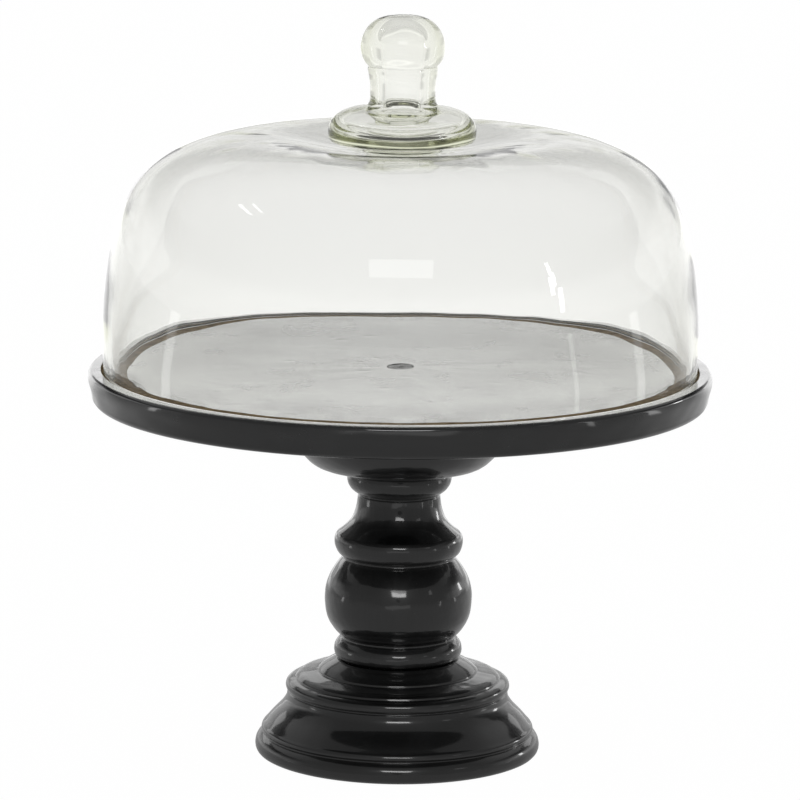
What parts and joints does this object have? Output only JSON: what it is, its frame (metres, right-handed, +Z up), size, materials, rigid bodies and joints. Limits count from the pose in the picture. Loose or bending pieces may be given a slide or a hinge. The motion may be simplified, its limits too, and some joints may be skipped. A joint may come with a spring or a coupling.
{
  "type": "cake stand with glass dome",
  "caption": "Round wooden pedestal cake stand on a turned baluster foot, with a lift-off blown glass dome that seats in the plate's recess and has a knob on top.",
  "frame": {"origin": "centre of the foot's underside, on the table", "axes": "+Z up along the turned axis of foot, column, plate and dome; +X and +Y are free, because every outside face is a body of revolution"},
  "size_m": [0.305, 0.305, 0.3655],
  "materials": {
    "black_wood": "black satin lacquer over turned mango wood, fine grain and pores showing through, worn brown where the recess meets its wall",
    "wood_plug": "black stained plug, slightly sunk",
    "clear_glass": "clear blown soda-lime glass with a slight grey-green tint and gentle waves",
    "screw_steel": "zinc-plated steel",
    "felt": "black wool felt"
  },
  "bodies": {
    "stand": {"foot": "black_wood", "column": "black_wood", "top_flange": "black_wood", "plate": "black_wood", "plate_plug": "wood_plug", "plate_screw": "screw_steel", "foot_screw": "screw_steel", "foot_washer": "screw_steel", "base_felt": "felt"},
    "dome": {"glass_dome": "clear_glass", "knob_collar": "clear_glass", "knob": "clear_glass"}
  },
  "joints": [
    {"name": "dome_lift", "type": "slide", "parent": "stand", "child": "dome", "axis": [0, 0, 1], "range_m": [0, 0.24]}
  ]
}
